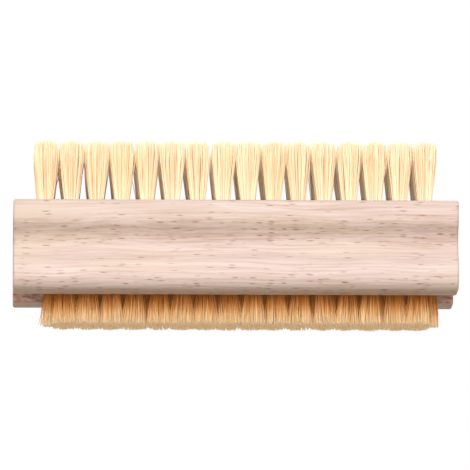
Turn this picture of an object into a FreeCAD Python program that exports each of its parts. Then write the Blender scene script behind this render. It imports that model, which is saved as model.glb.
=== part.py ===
import FreeCAD, Part
import math
import os
import Sketcher

# Double-sided nail brush in millimetres: long side along X, depth along Y, +Z up.
# Z = 0 is the plane of the lower tufts' trimmed tips; X = 0 and Y = 0 are the middle of the wood.
SIZES = {
    # Wooden block
    "body_length": 95.0,
    "body_width": 35.0,
    "body_height": 19.3,
    "channel_width": 14.0,
    "channel_depth": 4.0,
    "channel_corner_radius": 1.2,
    "channel_edge_radius": 0.8,
    "lip_edge_radius": 3.2,
    "belly_flat": 0.2,
    "cove_depth": 3.0,
    "cove_rise": 0.3,
    "brow_flat": 2.6,
    "brow_setback": 0.4,
    "top_edge_radius": 1.2,
    "end_edge_radius": 0.5,
    "web_thickness": 1.8,
    # Long tufts on the upper face, in a grid; margins run from the wood to the outermost tufts' axes,
    # and gaps are those left between neighbours
    "upper_columns": 16,
    "upper_rows": 5,
    "upper_end_margin": 7.0,
    "upper_side_margin": 6.7,
    "upper_hole_diameter": 3.1,
    "upper_free_length": 13.3,
    "upper_swell_gap": 0.52,
    "upper_tip_gap": 0.7,
    "upper_tip_rounding": 1.1,
    # Short tufts in the channel: a full middle row and a shorter staggered row on either side
    "lower_columns": 17,
    "lower_left_margin": 8.5,
    "lower_right_margin": 5.7,
    "lower_side_margin": 2.6,
    "lower_hole_diameter": 2.9,
    "lower_hole_depth": 6.0,
    "lower_free_length": 10.0,
    "lower_swell_gap": 0.7,
    "lower_tip_gap": 0.65,
    "lower_tip_rounding": 0.4,
    # Flat wire anchors, with the bristles folded round them
    "anchor_thickness": 0.35,
    "anchor_height": 1.6,
    "anchor_bite": 0.2,
    "fold_height": 0.6,
    "fold_diameter": 1.9,
    "clearance": 0.02,
}

doc = FreeCAD.newDocument("nail_brush")
sheet = doc.addObject("Spreadsheet::Sheet", "sizes")
for number, (name, value) in enumerate(SIZES.items(), 1):
    sheet.set(f"A{number}", name)
    sheet.set(f"B{number}", str(value))
    sheet.setAlias(f"B{number}", name)
doc.recompute()

# Heights shared by the block, the tufts and the anchors
LIP_Z = "(sizes.lower_free_length - sizes.channel_depth)"
CEILING_Z = "sizes.lower_free_length"
TOP_Z = f"({LIP_Z} + sizes.body_height)"
COVE_Z = f"({LIP_Z} + sizes.body_height / 2 + sizes.cove_rise)"
BELLY_Z = f"({LIP_Z} + sizes.lip_edge_radius + sizes.belly_flat)"
BROW_Z = f"({TOP_Z} - sizes.top_edge_radius - sizes.brow_flat)"
LOWER_DEPTH = "sizes.lower_hole_depth"
UPPER_DEPTH = f"({TOP_Z} - {CEILING_Z} - {LOWER_DEPTH} - sizes.web_thickness)"

# The belly's roll and the cove share one radius, which fills the height from the belly's flat to the cove's
# floor; the edge under the brow fills the height from there to the brow's flat
OVERHANG = "(sizes.cove_depth - sizes.brow_setback)"
COVE_RADIUS = f"((({COVE_Z} - {BELLY_Z})^2 + sizes.cove_depth^2) / (4 * sizes.cove_depth))"
BROW_RADIUS = f"((({BROW_Z} - {COVE_Z})^2 + {OVERHANG}^2) / (2 * {OVERHANG}) - {COVE_RADIUS})"

# Distances between the axes of neighbouring tufts: along the brush, across it, and to the nearest one
UPPER_PITCH = "((sizes.body_length - 2 * sizes.upper_end_margin) / (sizes.upper_columns - 1))"
UPPER_ROW_PITCH = "((sizes.body_width - 2 * sizes.upper_side_margin) / (sizes.upper_rows - 1))"
UPPER_SPACING = f"min({UPPER_PITCH}; {UPPER_ROW_PITCH})"
LOWER_MARGINS = "(sizes.lower_left_margin + sizes.lower_right_margin)"
LOWER_PITCH = f"((sizes.body_length - {LOWER_MARGINS}) / (sizes.lower_columns - 1))"
LOWER_ROW_PITCH = "(sizes.channel_width / 2 - sizes.lower_side_margin)"
LOWER_SPACING = f"min({LOWER_PITCH}; sqrt(({LOWER_PITCH} / 2)^2 + {LOWER_ROW_PITCH}^2))"
LOWER_SHIFT = "((sizes.lower_left_margin - sizes.lower_right_margin) / 2)"


def amount(formula):
    """The number that a formula of the sheet gives."""
    return float(sheet.evalExpression(formula))


def vec(x, y, z=0.0):
    return FreeCAD.Vector(x, y, z)


def new_body(label):
    """An empty body whose label names its file; it may hold several separate solids."""
    body = doc.addObject("PartDesign::Body", label)
    body.Label = label
    body.AllowCompound = True
    return body


def origin_feature(body, role):
    return next(item for item in body.Origin.OriginFeatures if item.Role == role)


def new_sketch(body, name, role, offset=()):
    """A sketch on one of the body's own planes, its origin moved in that plane's axes by formulas."""
    sketch = body.newObject("Sketcher::SketchObject", name)
    sketch.AttachmentSupport = (origin_feature(body, role), [""])
    sketch.MapMode = "FlatFace"
    for axis, formula in zip("xyz", offset):
        sketch.setExpression(f"AttachmentOffset.Base.{axis}", formula)
    return sketch


def dimension(sketch, name, formula, kind, *where):
    """A named driving constraint bound to a formula of the sheet."""
    index = sketch.addConstraint(Sketcher.Constraint(kind, *where, amount(formula)))
    sketch.renameConstraint(index, name)
    sketch.setExpression(f"Constraints.{name}", formula)


def relate(sketch, kind, *pairs):
    for pair in pairs:
        sketch.addConstraint(Sketcher.Constraint(kind, *pair))


def arc(centre, radius, start, end):
    """A circular arc drawn anticlockwise between two angles in radians."""
    return Part.ArcOfCircle(Part.Circle(vec(*centre), vec(0, 0, 1), radius), start, end)


def pattern(body, name, originals, *ways):
    """Repeats features one or two ways; each way is an axis, a count and a pitch in words of the sheet."""
    feature = body.newObject("PartDesign::LinearPattern", name)
    feature.Originals = originals
    feature.Refine = False
    for suffix, (axis, count, pitch) in zip(("", "2"), ways):
        setattr(feature, "Direction" + suffix, (origin_feature(body, axis), [""]))
        setattr(feature, "Mode" + suffix, "Extent")
        feature.setExpression("Occurrences" + suffix, count)
        feature.setExpression("Length" + suffix, f"{pitch} * ({count} - 1)")
    body.Tip = feature
    return feature


def profile_sketch(body):
    """Half of the block's cross-section: channel, lip, belly, finger cove, brow and flat top."""
    s = SIZES
    lip, ceiling, top = amount(LIP_Z), amount(CEILING_Z), amount(TOP_Z)
    side = s["body_width"] / 2
    wall = s["channel_width"] / 2
    brow = side - s["brow_setback"]
    corner, mouth, low = s["channel_corner_radius"], s["channel_edge_radius"], s["lip_edge_radius"]
    cove, edge, upper = amount(COVE_RADIUS), amount(BROW_RADIUS), s["top_edge_radius"]
    belly_z, brow_z = amount(BELLY_Z), amount(BROW_Z)
    cove_at = (side - s["cove_depth"] + cove, amount(COVE_Z))
    low_angle = math.atan2(cove_at[1] - belly_z, cove_at[0] - (side - cove))
    high_angle = math.atan2(brow_z - cove_at[1], cove_at[0] - (brow - edge))
    quarter = math.pi / 2

    sketch = new_sketch(body, "block_profile", "YZ_Plane")
    line = Part.LineSegment
    sketch.addGeometry(
        [
            line(vec(0, ceiling), vec(wall - corner, ceiling)),
            arc((wall - corner, ceiling - corner), corner, 0, quarter),
            line(vec(wall, ceiling - corner), vec(wall, lip + mouth)),
            arc((wall + mouth, lip + mouth), mouth, 2 * quarter, 3 * quarter),
            line(vec(wall + mouth, lip), vec(side - low, lip)),
            arc((side - low, lip + low), low, 3 * quarter, 4 * quarter),
            line(vec(side, lip + low), vec(side, belly_z)),
            arc((side - cove, belly_z), cove, 0, low_angle),
            arc(cove_at, cove, math.pi - high_angle, math.pi + low_angle),
            arc((brow - edge, brow_z), edge, -high_angle, 0),
            line(vec(brow, brow_z), vec(brow, top - upper)),
            arc((brow - upper, top - upper), upper, 0, quarter),
            line(vec(brow - upper, top), vec(0, top)),
            line(vec(0, top), vec(0, ceiling)),
        ],
        False,
    )
    # Order of the pieces:
    # ceiling, corner, wall, mouth, lip, low, belly, roll, cove, edge, brow, upper, top, middle
    relate(sketch, "Horizontal", (0,), (4,), (12,))
    relate(sketch, "Vertical", (2,), (6,), (10,), (13,))
    relate(sketch, "Coincident", (12, 2, 13, 1), (13, 2, 0, 1))
    relate(sketch, "PointOnObject", (0, 1, -2))
    relate(sketch, "Tangent", (0, 2, 1, 2), (1, 1, 2, 1), (2, 2, 3, 1), (3, 2, 4, 1))
    relate(sketch, "Tangent", (4, 2, 5, 1), (5, 2, 6, 1), (6, 2, 7, 1), (7, 2, 8, 2))
    relate(sketch, "Tangent", (8, 1, 9, 1), (9, 2, 10, 1), (10, 2, 11, 1), (11, 2, 12, 1))
    half_width = "sizes.body_width / 2"
    for name, formula, piece in (
        ("corner_radius", "sizes.channel_corner_radius", 1),
        ("mouth_radius", "sizes.channel_edge_radius", 3),
        ("lip_radius", "sizes.lip_edge_radius", 5),
        ("roll_radius", COVE_RADIUS, 7),
        ("cove_radius", COVE_RADIUS, 8),
        ("brow_radius", BROW_RADIUS, 9),
        ("top_radius", "sizes.top_edge_radius", 11),
    ):
        dimension(sketch, name, formula, "Radius", piece)
    for name, formula, piece, point in (
        ("wall_y", "sizes.channel_width / 2", 2, 1),
        ("belly_y", half_width, 6, 1),
        ("brow_y", f"{half_width} - sizes.brow_setback", 10, 1),
        ("cove_y", f"{half_width} - sizes.cove_depth + {COVE_RADIUS}", 8, 3),
    ):
        dimension(sketch, name, formula, "DistanceX", -1, 1, piece, point)
    for name, formula, piece, point in (
        ("ceiling_z", CEILING_Z, 0, 1),
        ("lip_z", LIP_Z, 4, 1),
        ("top_z", TOP_Z, 12, 2),
        ("cove_z", COVE_Z, 8, 3),
    ):
        dimension(sketch, name, formula, "DistanceY", -1, 1, piece, point)
    return sketch


def end_edges(shape):
    """Names of the edges that lie in the two end planes of the block."""
    reach = shape.BoundBox.XMax
    return [
        f"Edge{number}"
        for number, edge in enumerate(shape.Edges, 1)
        if abs(abs(edge.BoundBox.XMin) - reach) < 1e-4 and edge.BoundBox.XLength < 1e-4
    ]


def make_block():
    """The bare block: half the cross-section drawn out along X, mirrored, its end edges eased."""
    body = new_body("wood_body")
    pad = body.newObject("PartDesign::Pad", "half_block")
    pad.Profile = profile_sketch(body)
    pad.SideType = "Symmetric"
    pad.setExpression("Length", "sizes.body_length")
    doc.recompute()
    mirror = body.newObject("PartDesign::Mirrored", "whole_block")
    mirror.Originals = [pad]
    mirror.MirrorPlane = (origin_feature(body, "XZ_Plane"), [""])
    body.Tip = mirror
    doc.recompute()
    ease = body.newObject("PartDesign::Fillet", "eased_ends")
    ease.Base = (mirror, end_edges(mirror.Shape))
    ease.setExpression("Radius", "sizes.end_edge_radius")
    body.Tip = ease
    doc.recompute()
    return body


def circle_sketch(body, name, offset, diameter):
    """A circle about the sketch's own origin, on the level plane."""
    sketch = new_sketch(body, name, "XY_Plane", offset)
    sketch.addGeometry(Part.Circle(vec(0, 0), vec(0, 0, 1), 1), False)
    relate(sketch, "Coincident", (0, 3, -1, 1))
    dimension(sketch, "diameter", diameter, "Diameter", 0)
    return sketch


def rectangle_sketch(body, name, role, offset, width, height):
    """A rectangle about the sketch's own origin."""
    sketch = new_sketch(body, name, role, offset)
    corners = [vec(-1, -1), vec(1, -1), vec(1, 1), vec(-1, 1)]
    for start, end in zip(corners, corners[1:] + corners[:1]):
        sketch.addGeometry(Part.LineSegment(start, end), False)
    relate(sketch, "Coincident", (0, 2, 1, 1), (1, 2, 2, 1), (2, 2, 3, 1), (3, 2, 0, 1))
    relate(sketch, "Horizontal", (0,), (2,))
    relate(sketch, "Vertical", (1,), (3,))
    relate(sketch, "Symmetric", (0, 1, 1, 2, -1, 1))
    dimension(sketch, "width", width, "DistanceX", 0, 1, 0, 2)
    dimension(sketch, "height", height, "DistanceY", 1, 1, 1, 2)
    return sketch


def cut(body, name, sketch, depth, upward):
    """A pocket of the given depth, upward or downward from its sketch."""
    feature = body.newObject("PartDesign::Pocket", name)
    feature.Profile = sketch
    feature.setExpression("Length", depth)
    feature.Reversed = upward
    feature.Refine = False
    body.Tip = feature
    return feature


class Field:
    """One regular set of tufts: the place of its first hole, how it repeats, and the side it is on."""

    def __init__(self, name, side, columns, rows, row_pitch):
        self.name = name
        self.side = side
        self.upward = side == "lower"
        pitch = LOWER_PITCH if self.upward else UPPER_PITCH
        shift = LOWER_SHIFT if self.upward else "0"
        self.along = ("X_Axis", columns, pitch)
        self.across = ("Y_Axis", rows, row_pitch)
        self.x = f"({shift} - {pitch} * ({columns} - 1) / 2)"
        self.y = f"(0 - {row_pitch} * ({rows} - 1) / 2)"
        self.mouth = CEILING_Z if self.upward else TOP_Z
        self.hole = f"sizes.{side}_hole_diameter"
        self.depth = LOWER_DEPTH if self.upward else UPPER_DEPTH
        self.spacing = LOWER_SPACING if self.upward else UPPER_SPACING
        inward = "+" if self.upward else "-"
        self.anchor = f"({self.mouth} {inward} ({self.depth} - sizes.fold_height - sizes.anchor_height))"

    def anchor_sketch(self, body):
        """Plan of the first anchor, across the grain, with both ends past the wall of the hole."""
        return rectangle_sketch(
            body,
            self.name + "_anchor_plan",
            "XY_Plane",
            (self.x, self.y, self.anchor),
            "sizes.anchor_thickness",
            f"{self.hole} + 2 * sizes.anchor_bite",
        )


UPPER = Field("upper", "upper", "sizes.upper_columns", "sizes.upper_rows", UPPER_ROW_PITCH)
MIDDLE = Field("lower_middle", "lower", "sizes.lower_columns", "1", LOWER_ROW_PITCH)
OUTER = Field("lower_outer", "lower", "(sizes.lower_columns - 1)", "2", f"(2 * {LOWER_ROW_PITCH})")


def drill(body, field):
    """Blind holes for one field, each with two notches where its anchor bites into the wood."""
    plan = circle_sketch(body, field.name + "_hole_plan", (field.x, field.y, field.mouth), field.hole)
    hole = cut(body, field.name + "_hole", plan, field.depth, field.upward)
    notch = cut(body, field.name + "_notch", field.anchor_sketch(body), "sizes.anchor_height", field.upward)
    holes = pattern(body, field.name + "_holes", [hole, notch], field.along, field.across)
    cuts.extend([(hole, notch), (notch, holes)])


def make_anchors(label, fields):
    """Flat wire anchors of one side, one separate solid for each tuft."""
    body = new_body(label)
    for field in fields:
        pad = body.newObject("PartDesign::Pad", field.name + "_anchor")
        pad.Profile = field.anchor_sketch(body)
        pad.setExpression("Length", "sizes.anchor_height")
        pad.Reversed = not field.upward
        pad.Refine = False
        pattern(body, field.name + "_anchors", [pad], field.along, field.across)
    return body


def tuft_sketch(body, field):
    """Half outline of a tuft about its axis: fold, tapered root, mouth of the hole, flare and trimmed tip."""
    side = field.side
    rounding_words = f"sizes.{side}_tip_rounding"
    mouth_words = f"({field.hole} / 2 - sizes.clearance)"
    swell_words = f"(({field.spacing} - sizes.{side}_swell_gap) / 2)"
    tip_words = f"(({field.spacing} - sizes.{side}_tip_gap) / 2)"
    shoulder_words = f"(sizes.{side}_free_length - {rounding_words})"
    fold, depth = SIZES["fold_diameter"] / 2, amount(field.depth)
    mouth, swell, tip = amount(mouth_words), amount(swell_words), amount(tip_words)
    rounding, shoulder = amount(rounding_words), amount(shoulder_words)
    free = shoulder + rounding
    flare = Part.Arc(vec(mouth, 0), vec(swell, shoulder / 2), vec(tip, shoulder))
    line = Part.LineSegment

    sketch = new_sketch(body, "tuft_outline", "XZ_Plane")
    sketch.addGeometry(
        [
            line(vec(0, -depth), vec(fold, -depth)),
            line(vec(fold, -depth), vec(mouth, 0)),
            flare,
            arc((tip - rounding, shoulder), rounding, 0, math.pi / 2),
            line(vec(tip - rounding, free), vec(0, free)),
            line(vec(0, free), vec(0, -depth)),
        ],
        False,
    )
    sketch.addGeometry(Part.Point(vec(swell, shoulder / 2)), True)
    # Order of the pieces: fold, root, flare, rounding, tip, axis, and the point that the flare passes through
    relate(sketch, "Coincident", (0, 2, 1, 1), (1, 2, 2, 1), (2, 2, 3, 1))
    relate(sketch, "Coincident", (3, 2, 4, 1), (4, 2, 5, 1), (5, 2, 0, 1))
    relate(sketch, "Horizontal", (0,), (4,), (3, 3, 3, 1))
    relate(sketch, "Vertical", (3, 3, 3, 2))
    relate(sketch, "PointOnObject", (0, 1, -2), (4, 2, -2), (1, 2, -1), (6, 1, 2))
    dimension(sketch, "tip_rounding", rounding_words, "Radius", 3)
    dimension(sketch, "fold_radius", "sizes.fold_diameter / 2", "DistanceX", -1, 1, 0, 2)
    dimension(sketch, "root_depth", field.depth, "DistanceY", 0, 2, -1, 1)
    dimension(sketch, "mouth_radius", mouth_words, "DistanceX", -1, 1, 1, 2)
    dimension(sketch, "swell_radius", swell_words, "DistanceX", -1, 1, 6, 1)
    dimension(sketch, "swell_height", f"{shoulder_words} / 2", "DistanceY", -1, 1, 6, 1)
    dimension(sketch, "tip_radius", tip_words, "DistanceX", -1, 1, 2, 2)
    dimension(sketch, "shoulder_height", shoulder_words, "DistanceY", -1, 1, 2, 2)
    return sketch


def make_rank(label, field, column):
    """The tufts that stand in one line across the brush, each a separate solid slotted for its anchor."""
    body = new_body(label)
    turn = 180 if field.upward else 0
    body.Placement = FreeCAD.Placement(vec(0, 0), FreeCAD.Rotation(vec(1, 0, 0), turn))
    body.setExpression("Placement.Base.x", f"{field.x} + {column} * {field.along[2]}")
    body.setExpression("Placement.Base.y", f"0 - {field.y}" if field.upward else field.y)
    body.setExpression("Placement.Base.z", field.mouth)
    tuft = body.newObject("PartDesign::Revolution", "tuft")
    tuft.Profile = tuft_sketch(body, field)
    tuft.ReferenceAxis = (origin_feature(body, "Z_Axis"), [""])
    tuft.Angle = 360
    tuft.Refine = False
    slot_z = f"sizes.fold_height + sizes.anchor_height / 2 - {field.depth}"
    slot = body.newObject("PartDesign::Pocket", "anchor_slot")
    slot.Profile = rectangle_sketch(
        body,
        "anchor_slot_outline",
        "XZ_Plane",
        ("0", slot_z),
        "sizes.anchor_thickness + 2 * sizes.clearance",
        "sizes.anchor_height + 2 * sizes.clearance",
    )
    slot.SideType = "Symmetric"
    slot.Type = "ThroughAll"
    slot.Refine = False
    body.Tip = slot
    if field.across[1] != "1":
        pattern(body, "tufts", [tuft, slot], field.across)
    cuts.append((tuft, slot))
    return body


# Each pair is a feature and the next one, which takes material away from it
cuts = []
bodies = [make_block()]
for field in (MIDDLE, OUTER, UPPER):
    drill(bodies[0], field)
bodies.append(make_anchors("upper_anchors", (UPPER,)))
bodies.append(make_anchors("lower_anchors", (MIDDLE, OUTER)))
for column in range(SIZES["upper_columns"]):
    bodies.append(make_rank(f"upper_tufts_{column + 1:02d}", UPPER, column))
for rank in range(2 * SIZES["lower_columns"] - 1):
    field = OUTER if rank % 2 else MIDDLE
    bodies.append(make_rank(f"lower_tufts_{rank + 1:02d}", field, rank // 2))
doc.recompute()

for item in doc.Objects:
    if "Invalid" in item.State or "Error" in item.State:
        raise RuntimeError(f"{item.Label}: {item.State}")
for before, after in cuts:
    if not before.Shape.Volume > after.Shape.Volume:
        raise RuntimeError(f"{after.Label}: nothing was cut away")
os.makedirs("parts", exist_ok=True)
for body in bodies:
    if body.Shape.isNull() or not body.Shape.isValid():
        raise RuntimeError(f"{body.Label}: bad shape")
    body.Shape.exportStep(f"parts/{body.Label}.step")
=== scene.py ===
import math

import bpy
import numpy as np
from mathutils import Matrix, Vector


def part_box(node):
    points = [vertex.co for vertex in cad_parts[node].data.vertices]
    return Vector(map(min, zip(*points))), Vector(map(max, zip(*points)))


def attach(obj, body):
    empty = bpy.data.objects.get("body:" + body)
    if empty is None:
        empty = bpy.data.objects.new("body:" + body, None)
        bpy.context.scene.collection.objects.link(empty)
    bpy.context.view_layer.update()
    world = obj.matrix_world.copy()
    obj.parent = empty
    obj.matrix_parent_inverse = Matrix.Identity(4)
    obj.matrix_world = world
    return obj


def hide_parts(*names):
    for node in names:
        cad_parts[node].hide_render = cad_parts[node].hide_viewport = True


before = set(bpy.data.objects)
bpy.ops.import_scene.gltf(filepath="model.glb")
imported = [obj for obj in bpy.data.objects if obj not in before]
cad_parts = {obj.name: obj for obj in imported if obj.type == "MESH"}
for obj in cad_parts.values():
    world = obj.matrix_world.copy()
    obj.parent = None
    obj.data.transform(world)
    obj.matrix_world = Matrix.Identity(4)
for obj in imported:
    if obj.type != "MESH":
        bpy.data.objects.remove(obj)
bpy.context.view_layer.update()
wood_low, wood_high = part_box("wood_body")

MM = 0.001

# Sizes in metres of the wood and of its holes, which the frame's boxes don't give
CHANNEL_HALF_WIDTH = 7.0 * MM
CEILING_Z = wood_low.z + 4.0 * MM
OVERHANG_Z = wood_low.z + 12.7 * MM
UPPER_HOLE_RADIUS = 1.55 * MM
LOWER_HOLE_RADIUS = 1.45 * MM

# An upper rank holds five tufts; a lower one holds two if it is deeper than this many of its widths
UPPER_TUFTS_IN_RANK = 5
PAIR_DEPTH = 1.5

# Strands: how thick they are, how that varies and tapers, how deep they start and what makes up their tone
STRAND_SEED = 20
STRAND_SIDES = 4
STRAND_THICKNESS = 0.2 * MM
THINNEST, THICKNESS_RANGE = 0.8, 0.4
STRAND_TAPER = 0.25
ROOT_DEPTH = 1.3 * MM
CLUMP_TONE_SHARE, OWN_TONE_SHARE = 0.55, 0.45


def linear(colour):
    """Linear RGBA of an sRGB hex colour: each channel through the sRGB transfer curve."""
    srgb = np.array([int(colour[i : i + 2], 16) for i in (1, 3, 5)]) / 255
    rgb = np.where(srgb <= 0.04045, srgb / 12.92, ((srgb + 0.055) / 1.055) ** 2.4)
    return (*rgb.tolist(), 1.0)


def add(tree, kind, inputs=None, stops=(), **settings):
    """Adds a node with its settings, and the stops of its ramp if it has one.

    Each input takes a socket to link from, a hex colour or a value to hold.
    """
    node = tree.nodes.new(kind)
    for name, value in settings.items():
        setattr(node, name, value)
    for name, value in (inputs or {}).items():
        if isinstance(value, bpy.types.NodeSocket):
            tree.links.new(value, node.inputs[name])
        else:
            node.inputs[name].default_value = linear(value) if isinstance(value, str) else value
    for number, (place, colour) in enumerate(stops):
        band = node.color_ramp.elements
        element = band[number] if number < len(band) else band.new(place)
        element.position = place
        element.color = linear(colour)
    return node


def blank(name):
    """A material with only a shader and an output: it, its tree, the shader and the output's socket."""
    material = bpy.data.materials.new(name)
    material.use_nodes = True
    tree = material.node_tree
    tree.nodes.clear()
    shader = add(tree, "ShaderNodeBsdfPrincipled")
    output = add(tree, "ShaderNodeOutputMaterial", {"Surface": shader.outputs["BSDF"]})
    return material, tree, shader, output.inputs["Surface"]


def per_mm(*sizes):
    """Scales that make one unit of a pattern as long as each of the given sizes in millimetres."""
    return tuple(1 / (size * MM) for size in sizes)


def moulded_beech():
    """Beech, planed and moulded, left bare.

    Pinkish straw with cream patches and faint growth bands; short brown ray flecks lie along the grain, and
    open pores show as dashes where the moulding cuts across the fibres. The cove's overhang has brown streaks
    of grain tear-out over painted shade, and the channel's walls, left from the saw, are redder and blotched,
    partly as painted shade and painted warm bounce light.
    """
    material, tree, shader, _ = blank("moulded_beech")
    place = add(tree, "ShaderNodeTexCoord").outputs["Object"]
    axes = add(tree, "ShaderNodeSeparateXYZ", {0: place})

    # The grain runs along X and wanders up and down by about a millimetre in every 24
    slow = add(tree, "ShaderNodeMapping", {"Vector": place, "Scale": per_mm(24, 30, 9)})
    wander = add(tree, "ShaderNodeTexNoise", {"Vector": slow.outputs[0], "Scale": 1.0, "Detail": 1.0})
    rise = add(
        tree, "ShaderNodeMath", {0: wander.outputs[0], 1: 2.4 * MM, 2: -1.2 * MM}, operation="MULTIPLY_ADD"
    )
    lift = add(tree, "ShaderNodeCombineXYZ", {"Z": rise.outputs[0]})
    grain = add(tree, "ShaderNodeVectorMath", {0: place, 1: lift.outputs[0]}, operation="ADD").outputs[0]

    # Growth bands 2.6 mm apart about a pith 70 mm behind the block, so its long sides are cut along them; the
    # wave pattern turns by 20 radians in one unit
    ring_gap = 2.6 * MM
    wave_turn = 20
    pith = add(tree, "ShaderNodeMapping", {"Vector": grain, "Location": (0, -70 * MM, -10 * MM)})
    bands = add(
        tree,
        "ShaderNodeTexWave",
        {
            "Vector": pith.outputs[0],
            "Scale": 2 * math.pi / wave_turn / ring_gap,
            "Distortion": 2.5,
            "Detail": 2.0,
            "Detail Scale": 0.3,
        },
        wave_type="RINGS",
        rings_direction="X",
        wave_profile="SAW",
    )
    late = add(
        tree,
        "ShaderNodeMapRange",
        {"Value": bands.outputs["Fac"], "From Min": 0.4, "From Max": 1.0, "To Min": 0.0, "To Max": 0.2},
    )

    # Fibre streaks 16 mm long and 0.4 mm high, coarser than real fibres so that they show; cream patches
    # 30 mm long and 6 mm high
    streak_place = add(tree, "ShaderNodeMapping", {"Vector": grain, "Scale": per_mm(16, 0.8, 0.4)})
    streaks = add(
        tree, "ShaderNodeTexNoise", {"Vector": streak_place.outputs[0], "Scale": 1.0, "Detail": 4.0}
    )
    patch_place = add(tree, "ShaderNodeMapping", {"Vector": grain, "Scale": per_mm(30, 20, 6)})
    patches = add(
        tree, "ShaderNodeTexNoise", {"Vector": patch_place.outputs[0], "Scale": 1.0, "Detail": 2.0}
    )
    cream = add(
        tree,
        "ShaderNodeMapRange",
        {"Value": patches.outputs[0], "From Min": 0.45, "From Max": 0.7, "To Min": 0.0, "To Max": 0.6},
    )

    # Ray flecks are spindles about 1.6 mm along the grain and 0.2 mm high, and pores are dashes of 1 mm by
    # 0.2 mm, both coarser than real ones so that they show. Each is the core of a cell with a size in mm, and
    # the cell's random shade makes it strong, faint or absent
    marks = []
    for cell, core_edge, absent_to, strong_from in (
        ((4.0, 2.4, 0.55), 0.3, 0.2, 0.9),
        ((2.6, 0.9, 0.55), 0.4, 0.3, 1.0),
    ):
        cell_place = add(tree, "ShaderNodeMapping", {"Vector": grain, "Scale": per_mm(*cell)})
        cells = add(tree, "ShaderNodeTexVoronoi", {"Vector": cell_place.outputs[0], "Scale": 1.0})
        from_core = cells.outputs["Distance"]
        core = add(
            tree,
            "ShaderNodeMapRange",
            {"Value": from_core, "From Min": 0.1, "From Max": core_edge, "To Min": 1.0, "To Max": 0.0},
            interpolation_type="SMOOTHSTEP",
        )
        shade = add(tree, "ShaderNodeSeparateColor", {"Color": cells.outputs["Color"]}).outputs["Red"]
        weight = add(
            tree,
            "ShaderNodeMapRange",
            {"Value": shade, "From Min": absent_to, "From Max": strong_from, "To Min": 0.0, "To Max": 0.7},
        )
        marks.append(
            add(tree, "ShaderNodeMath", {0: core.outputs[0], 1: weight.outputs[0]}, operation="MULTIPLY")
        )
    flecks, dashes = marks

    # Pores open where the moulding cuts across the fibres: where the cove overhangs and on the lower rounding
    past_overhang = add(tree, "ShaderNodeMath", {0: axes.outputs["Z"], 1: OVERHANG_Z}, operation="SUBTRACT")
    off = add(tree, "ShaderNodeMath", {0: past_overhang.outputs[0]}, operation="ABSOLUTE").outputs[0]
    in_cove = add(
        tree,
        "ShaderNodeMapRange",
        {"Value": off, "From Min": 1.5 * MM, "From Max": 4.0 * MM, "To Min": 1.0, "To Max": 0.0},
        interpolation_type="SMOOTHSTEP",
    ).outputs[0]
    up = add(tree, "ShaderNodeMath", {0: axes.outputs["Z"], 1: wood_low.z}, operation="SUBTRACT").outputs[0]
    in_rounding = add(
        tree,
        "ShaderNodeMapRange",
        {"Value": up, "From Min": 2.0 * MM, "From Max": 4.5 * MM, "To Min": 1.0, "To Max": 0.0},
        interpolation_type="SMOOTHSTEP",
    ).outputs[0]
    across = add(tree, "ShaderNodeMath", {0: in_cove, 1: in_rounding}, operation="MAXIMUM").outputs[0]
    pores = add(tree, "ShaderNodeMath", {0: dashes.outputs[0], 1: across}, operation="MULTIPLY")

    # Grain tear-out over painted shade: brown streaks 5 mm long and 0.5 mm high on a faint painted darkening,
    # where the cove overhangs
    tear_place = add(tree, "ShaderNodeMapping", {"Vector": grain, "Scale": per_mm(5, 1, 0.5)})
    tears = add(tree, "ShaderNodeTexNoise", {"Vector": tear_place.outputs[0], "Scale": 1.0, "Detail": 3.0})
    tear_and_shade_depth = add(
        tree,
        "ShaderNodeMapRange",
        {"Value": tears.outputs[0], "From Min": 0.4, "From Max": 0.65, "To Min": 0.02, "To Max": 0.3},
    )
    # Painted shade: the cove's overhang is darkened where its shade falls, with tear-out streaks on top
    torn_grain_and_painted_shade = add(tree, "ShaderNodeMath", {0: tear_and_shade_depth.outputs[0], 1: in_cove}, operation="MULTIPLY")

    # Channel walls left from the saw, with painted shade and painted warm bounce light: red-brown blotches
    # 1.5 mm long and 0.6 mm high, between its walls and under its ceiling
    aside = add(tree, "ShaderNodeMath", {0: axes.outputs["Y"]}, operation="ABSOLUTE").outputs[0]
    past_wall = add(tree, "ShaderNodeMath", {0: aside, 1: CHANNEL_HALF_WIDTH}, operation="SUBTRACT")
    past_top = add(tree, "ShaderNodeMath", {0: axes.outputs["Z"], 1: CEILING_Z}, operation="SUBTRACT")
    past = add(
        tree, "ShaderNodeMath", {0: past_wall.outputs[0], 1: past_top.outputs[0]}, operation="MAXIMUM"
    ).outputs[0]
    inside = add(
        tree,
        "ShaderNodeMapRange",
        {"Value": past, "From Min": 0.1 * MM, "From Max": 0.6 * MM, "To Min": 1.0, "To Max": 0.0},
    )
    blotch_place = add(tree, "ShaderNodeMapping", {"Vector": place, "Scale": per_mm(1.5, 0.6, 0.6)})
    blotches = add(
        tree, "ShaderNodeTexNoise", {"Vector": blotch_place.outputs[0], "Scale": 1.0, "Detail": 3.0}
    )
    blotch = add(
        tree,
        "ShaderNodeMapRange",
        {"Value": blotches.outputs[0], "From Min": 0.35, "From Max": 0.65, "To Min": 0.4, "To Max": 0.95},
    )
    # Painted shade and painted warm bounce light inside the channel, mottled like the saw's marks
    sawn_grain_and_painted_shade = add(tree, "ShaderNodeMath", {0: inside.outputs[0], 1: blotch.outputs[0]}, operation="MULTIPLY")

    # Colour: pinkish straw from the streaks, with each feature's shade laid over it in turn
    pink = add(
        tree,
        "ShaderNodeValToRGB",
        {"Fac": streaks.outputs[0]},
        stops=[(0.25, "#AF9587"), (0.5, "#C1ADA5"), (0.75, "#CBBAB4")],
    )
    colour = pink.outputs[0]
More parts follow.
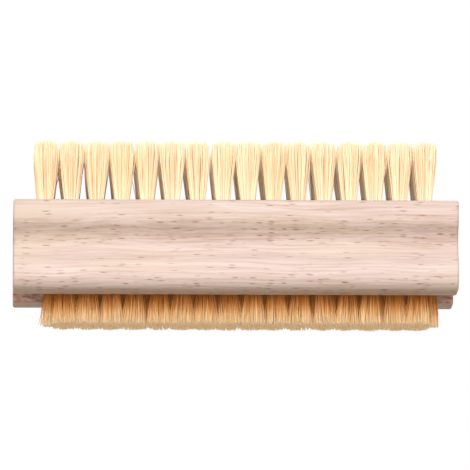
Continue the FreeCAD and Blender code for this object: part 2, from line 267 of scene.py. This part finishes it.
    # Two of these layers hold painted shade as well as grain: the cove's brown streaks, and the channel's
    # red-brown blotches, which also paint warm bounce light
    for share, shade in (
        (cream, "#C3B39F"),
        (late, "#A4836E"),
        (torn_grain_and_painted_shade, "#8E6E58"),
        (flecks, "#7A563F"),
        (pores, "#6A4F3C"),
        (sawn_grain_and_painted_shade, "#7D421E"),
    ):
        layer = add(tree, "ShaderNodeMix", {0: share.outputs[0], 6: colour, 7: shade}, data_type="RGBA")
        colour = layer.outputs[2]
    tree.links.new(colour, shader.inputs["Base Color"])

    # Surface: pale streaks are smoother and stand up, flecks and pores are sunk
    rough = add(
        tree,
        "ShaderNodeMapRange",
        {"Value": streaks.outputs[0], "From Min": 0.25, "From Max": 0.75, "To Min": 0.72, "To Max": 0.56},
    )
    tree.links.new(rough.outputs[0], shader.inputs["Roughness"])
    sunk = add(tree, "ShaderNodeMath", {0: flecks.outputs[0], 1: pores.outputs[0]}, operation="ADD")
    height = add(tree, "ShaderNodeMath", {0: streaks.outputs[0], 1: sunk.outputs[0]}, operation="SUBTRACT")
    bump = add(
        tree, "ShaderNodeBump", {"Strength": 0.35, "Distance": 0.08 * MM, "Height": height.outputs[0]}
    )
    tree.links.new(bump.outputs[0], shader.inputs["Normal"])
    return material


def tampico_fibre():
    """Dried plant fibre, cut: amber to pale straw as the strand's tone says, which carries painted shade and
    painted light; mottled along the strand.
    """
    material, tree, shader, _ = blank("tampico_fibre")
    tone = add(tree, "ShaderNodeAttribute", attribute_name="tone").outputs["Fac"]
    place = add(tree, "ShaderNodeTexCoord").outputs["Object"]

    # Mottling 0.3 mm across and 3 mm along the strand
    mottle_place = add(tree, "ShaderNodeMapping", {"Vector": place, "Scale": per_mm(0.3, 0.3, 3)})
    mottle = add(
        tree, "ShaderNodeTexNoise", {"Vector": mottle_place.outputs[0], "Scale": 1.0, "Detail": 2.0}
    )
    change = add(tree, "ShaderNodeMath", {0: mottle.outputs[0], 1: 0.3, 2: -0.15}, operation="MULTIPLY_ADD")
    shade = add(tree, "ShaderNodeMath", {0: change.outputs[0], 1: tone}, operation="ADD")
    # The amber end of the ramp is reached mainly through the painted root shade
    straw = add(
        tree,
        "ShaderNodeValToRGB",
        {"Fac": shade.outputs[0]},
        stops=[(0.0, "#A9611C"), (0.2, "#D98F3E"), (0.42, "#F0BF80"), (0.7, "#FDDFB4"), (1.0, "#FFF0DC")],
    )
    tree.links.new(straw.outputs[0], shader.inputs["Base Color"])
    rough = add(tree, "ShaderNodeMapRange", {"Value": shade.outputs[0], "To Min": 0.55, "To Max": 0.42})
    tree.links.new(rough.outputs[0], shader.inputs["Roughness"])
    return material


def flattened_wire():
    """Flat steel wire, rolled: dull silver with fine lines from the rolls along its length."""
    material, tree, shader, _ = blank("flattened_steel_wire")
    place = add(tree, "ShaderNodeTexCoord").outputs["Object"]

    # Roll lines 3 mm long and 0.12 mm high
    line_place = add(tree, "ShaderNodeMapping", {"Vector": place, "Scale": per_mm(0.4, 3, 0.12)})
    lines = add(tree, "ShaderNodeTexNoise", {"Vector": line_place.outputs[0], "Scale": 1.0, "Detail": 3.0})
    silver = add(
        tree,
        "ShaderNodeValToRGB",
        {"Fac": lines.outputs[0]},
        stops=[(0.3, "#8E9092"), (0.7, "#C3C5C7")],
    )
    tree.links.new(silver.outputs[0], shader.inputs["Base Color"])
    rough = add(
        tree,
        "ShaderNodeMapRange",
        {"Value": lines.outputs[0], "From Min": 0.3, "From Max": 0.7, "To Min": 0.48, "To Max": 0.3},
    )
    tree.links.new(rough.outputs[0], shader.inputs["Roughness"])
    shader.inputs["Metallic"].default_value = 1.0
    return material


def tuft_radius(t, look):
    """Radius of a tuft along its free length, t from 0 at the mouth of the hole to 1 at the tip.

    It rises from the mouth to the swell, levelling off as it goes, and draws in to the tip as a parabola.
    """
    rise = 1 - (1 - np.clip(t / look["swell_at"], 0, 1)) ** look["levelling"]
    fall = np.clip((t - look["swell_at"]) / (1 - look["swell_at"]), 0, 1) ** 2
    return look["mouth"] + (look["swell"] - look["mouth"]) * rise - (look["swell"] - look["tip"]) * fall


def bristles(name, centres, mouth_z, tip_z, look, random):
    """One rank of tufts as separate strands.

    A strand starts at an evenly spread point of the hole's disc and keeps its share of the tuft's radius all
    the way, so the tuft flares as a whole. Added to that are a lean of the whole tuft, a lean of each clump,
    and a bow of the strand itself, larger in a few strays, all growing with the square of the way along. Its
    length is the tuft's, less a dome that grows with a power of its share of the radius, and less a random
    raggedness. Round each of its rings the strand has four corners, and the rings shrink slightly towards the
    tip. Its tone is its clump's and its own, less a painted root shade in step with the way left (painted
    light where that value is negative), plus a painted tip light growing with the cube of the way along.
    """
    count = look["strands"]
    tufts = len(centres)
    up = math.copysign(1.0, tip_z - mouth_z)
    free = abs(tip_z - mouth_z)
    steps = np.concatenate(([-ROOT_DEPTH / free], look["rings"]))

    share = np.sqrt(random.random((tufts, count)))
    turn = random.random((tufts, count)) * 2 * math.pi
    clump = random.integers(0, look["clumps"], (tufts, count))
    clump_lean = random.normal(0, look["clump_lean"], (tufts, look["clumps"], 2))
    clump_tone = random.random((tufts, look["clumps"]))
    tuft_lean = random.normal(0, look["tuft_lean"], (tufts, 1, 2))
    bow = random.normal(0, look["bow"], (tufts, count, 2))
    stray = random.random((tufts, count)) < look["stray_share"]
    bow = bow + stray[..., None] * random.normal(0, look["stray"], (tufts, count, 2))
    picked = np.arange(tufts)[:, None]
    lean = tuft_lean + clump_lean[picked, clump] + bow

    short = np.abs(random.normal(0, look["ragged"], (tufts, count)))
    length = free - look["dome"] * share**look["dome_power"] - short
    t = steps * np.ones((tufts, count, 1))
    way = np.stack((np.cos(turn), np.sin(turn)), axis=-1)[:, :, None, :]
    along = np.clip(t, 0, 1)
    level = np.asarray(centres)[:, None, None, :] + (share[..., None] * tuft_radius(t, look))[..., None] * way
    level = level + lean[:, :, None, :] * along[..., None] ** 2
    height = mouth_z + up * t * length[..., None]

    corner = np.arange(STRAND_SIDES) * 2 * math.pi / STRAND_SIDES * up
    spin = turn[..., None, None] + corner
    thick = STRAND_THICKNESS / 2 * (THINNEST + THICKNESS_RANGE * random.random((tufts, count)))
    thick = thick[..., None] * (1 - STRAND_TAPER * along)
    ring = np.stack((np.cos(spin), np.sin(spin)), axis=-1) * thick[..., None, None]
    points = np.empty((tufts, count, len(steps), STRAND_SIDES, 3))
    points[..., :2] = level[:, :, :, None, :] + ring
    points[..., 2] = height[..., None]

    rows, sides = len(steps), STRAND_SIDES
    first = np.arange(tufts * count)[:, None, None] * rows * sides
    row = np.arange(rows - 1)[:, None] * sides
    here, after = np.arange(sides), (np.arange(sides) + 1) % sides
    walls = np.stack((row + here, row + after, row + sides + after, row + sides + here), axis=-1)
    walls = (first[..., None] + walls).reshape(-1, 4)
    root = first[:, 0] + here[::-1]
    end = first[:, 0] + (rows - 1) * sides + here
    faces = np.concatenate((walls, root, end))

    mesh = bpy.data.meshes.new(name)
    mesh.from_pydata(points.reshape(-1, 3), [], faces)
    mesh.polygons.foreach_set("use_smooth", np.ones(len(faces), dtype=bool))
    tone = CLUMP_TONE_SHARE * clump_tone[picked, clump] + OWN_TONE_SHARE * random.random((tufts, count))
    tone = look["tone"] + look["tone_spread"] * (tone[..., None] - 0.5)
    # Painted shade darkens the strand towards the mouth (painted light where the value is negative), and
    # painted light brightens the tip
    tone = tone - look["painted_root_shade"] * (1 - along) + look["painted_tip_light"] * along**3
    tone = np.broadcast_to(tone[..., None], points.shape[:-1])
    mesh.attributes.new("tone", "FLOAT", "POINT").data.foreach_set("value", tone.ravel())
    mesh.update()
    piece = bpy.data.objects.new(name, mesh)
    bpy.context.scene.collection.objects.link(piece)
    return piece


# Long, neat, pale tufts above, with painted light towards the mouth and at the tips; short, fuller tufts
# below, amber at the root from painted shade
UPPER_LOOK = {
    "strands": 180,
    "clumps": 9,
    "rings": np.array([0.0, 0.22, 0.45, 0.72, 1.0]),
    "mouth": UPPER_HOLE_RADIUS - STRAND_THICKNESS / 2,
    "swell": 2.6 * MM,
    "tip": 2.5 * MM,
    "swell_at": 0.78,
    "levelling": 1.2,
    "dome": 0.5 * MM,
    "dome_power": 4,
    "ragged": 0.35 * MM,
    "tuft_lean": 0.15 * MM,
    "clump_lean": 0.12 * MM,
    "bow": 0.12 * MM,
    "stray_share": 0.02,
    "stray": 0.7 * MM,
    "tone": 0.64,
    "tone_spread": 0.25,
    # Negative: painted light lifts the tone towards the mouth; the tip gets painted light too
    "painted_root_shade": -0.15,
    "painted_tip_light": 0.16,
}
LOWER_LOOK = {
    **UPPER_LOOK,
    "mouth": LOWER_HOLE_RADIUS - STRAND_THICKNESS / 2,
    "swell": 2.45 * MM,
    "tip": 2.5 * MM,
    "swell_at": 0.75,
    "levelling": 1.1,
    "dome": 0.15 * MM,
    "ragged": 0.18 * MM,
    "clump_lean": 0.2 * MM,
    "bow": 0.2 * MM,
    "tone": 0.61,
    "tone_spread": 0.35,
    # Painted shade darkens the tone towards the mouth, into amber; the tip gets painted light
    "painted_root_shade": 1.07,
    "painted_tip_light": 0.1,
}

# Every rank of tufts in the frame becomes a rank of strands in the same place
fibre = tampico_fibre()
random = np.random.default_rng(STRAND_SEED)
for node in sorted(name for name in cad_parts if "_tufts_" in name):
    low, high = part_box(node)
    upper = node.startswith("upper")
    look = UPPER_LOOK if upper else LOWER_LOOK
    width, depth = high.x - low.x, high.y - low.y
    tufts = UPPER_TUFTS_IN_RANK if upper else (1 if depth < PAIR_DEPTH * width else 2)
    middle = (low.x + high.x) / 2
    centres = [(middle, y) for y in np.linspace(low.y + width / 2, high.y - width / 2, tufts)]
    mouth_z = wood_high.z if upper else CEILING_Z
    tip_z = high.z if upper else low.z
    piece = bristles(node + "_strands", centres, mouth_z, tip_z, look, random)
    piece.data.materials.append(fibre)
    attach(piece, "root")
    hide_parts(node)

# The wood and the anchors keep their solids
wire = flattened_wire()
for node, material in (("wood_body", moulded_beech()), ("upper_anchors", wire), ("lower_anchors", wire)):
    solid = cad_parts[node]
    solid.data.materials.clear()
    solid.data.materials.append(material)

# Camera: the photograph's long lens, a little to the left of the middle and below it
IMAGE = 470
FOCAL_PIXELS = 9303
SENSOR = 36.0
DISTANCE, NEAR, FAR = 2.0, 0.05, 20.0
AZIMUTH, ELEVATION = math.radians(-1.575), math.radians(-8.09)
TARGET = Vector((0.188, 0.0, 19.99)) * MM
camera = bpy.data.objects.new("camera", bpy.data.cameras.new("camera"))
camera.data.sensor_width = SENSOR
camera.data.lens = FOCAL_PIXELS * SENSOR / IMAGE
camera.data.clip_start, camera.data.clip_end = NEAR, FAR
back = Vector(
    (
        math.sin(AZIMUTH) * math.cos(ELEVATION),
        -math.cos(AZIMUTH) * math.cos(ELEVATION),
        math.sin(ELEVATION),
    )
)
camera.location = TARGET + back * DISTANCE
camera.rotation_euler = back.to_track_quat("Z", "Y").to_euler()
bpy.context.scene.collection.objects.link(camera)
bpy.context.scene.camera = camera

# Stage: a pale floor under the lower tips, open from below because the camera stands below it; it throws no
# light and no shadow on the brush
FLOOR_REACH = 1.5
FLOOR_Z = -0.2 * MM
corners = [(-1, -1), (1, -1), (1, 1), (-1, 1)]
floor_mesh = bpy.data.meshes.new("floor")
floor_mesh.from_pydata([(x * FLOOR_REACH, y * FLOOR_REACH, FLOOR_Z) for x, y in corners], [], [(0, 1, 2, 3)])
floor = bpy.data.objects.new("floor", floor_mesh)
bpy.context.scene.collection.objects.link(floor)
paper, tree, shader, surface = blank("pale_floor_paper")
shader.inputs["Base Color"].default_value = linear("#EFEDEA")
shader.inputs["Roughness"].default_value = 0.9
under = add(tree, "ShaderNodeNewGeometry").outputs["Backfacing"]
clear = add(tree, "ShaderNodeBsdfTransparent")
both = add(tree, "ShaderNodeMixShader", {0: under, 1: shader.outputs["BSDF"], 2: clear.outputs["BSDF"]})
tree.links.new(both.outputs["Shader"], surface)
floor_mesh.materials.append(paper)
floor.visible_diffuse = False
floor.visible_glossy = False
floor.visible_shadow = False

# Light: white surroundings, dimmer and warmer below, a soft box above the front, and a small lamp behind the
# camera on its axis, which reaches the tufts behind the front row
FILL_DISTANCE = 2.3
world = bpy.data.worlds.new("studio")
bpy.context.scene.world = world
world.use_nodes = True
tree = world.node_tree
tree.nodes.clear()
facing = add(tree, "ShaderNodeTexCoord").outputs["Generated"]
up = add(tree, "ShaderNodeSeparateXYZ", {0: facing}).outputs["Z"]
rise = add(
    tree,
    "ShaderNodeMapRange",
    {"Value": up, "From Min": -0.6, "From Max": 0.6},
    interpolation_type="SMOOTHSTEP",
).outputs["Result"]
bounce = add(tree, "ShaderNodeValToRGB", {"Fac": rise}, stops=[(0.0, "#FFF0DA"), (1.0, "#FFFFFF")])
strength = add(tree, "ShaderNodeMapRange", {"Value": rise, "To Min": 0.52, "To Max": 0.9})
light = add(
    tree, "ShaderNodeBackground", {"Color": bounce.outputs["Color"], "Strength": strength.outputs["Result"]}
)
white = add(tree, "ShaderNodeBackground", {"Color": "#FFFFFF", "Strength": 1.0})
seen = add(tree, "ShaderNodeLightPath").outputs["Is Camera Ray"]
sky = add(tree, "ShaderNodeMixShader", {0: seen, 1: light.outputs[0], 2: white.outputs[0]})
add(tree, "ShaderNodeOutputWorld", {"Surface": sky.outputs[0]})

for name, watts, size, spot in (
    ("soft_box", 7.3, 0.7, Vector((-0.1, -0.9, 0.38))),
    ("front_fill", 18.0, 0.16, TARGET + back * FILL_DISTANCE),
):
    lamp = bpy.data.lights.new(name, "AREA")
    lamp.size = size
    lamp.energy = watts
    box = bpy.data.objects.new(name, lamp)
    box.location = spot
    box.rotation_euler = spot.to_track_quat("Z", "Y").to_euler()
    bpy.context.scene.collection.objects.link(box)

bpy.context.scene.view_settings.view_transform = "Standard"
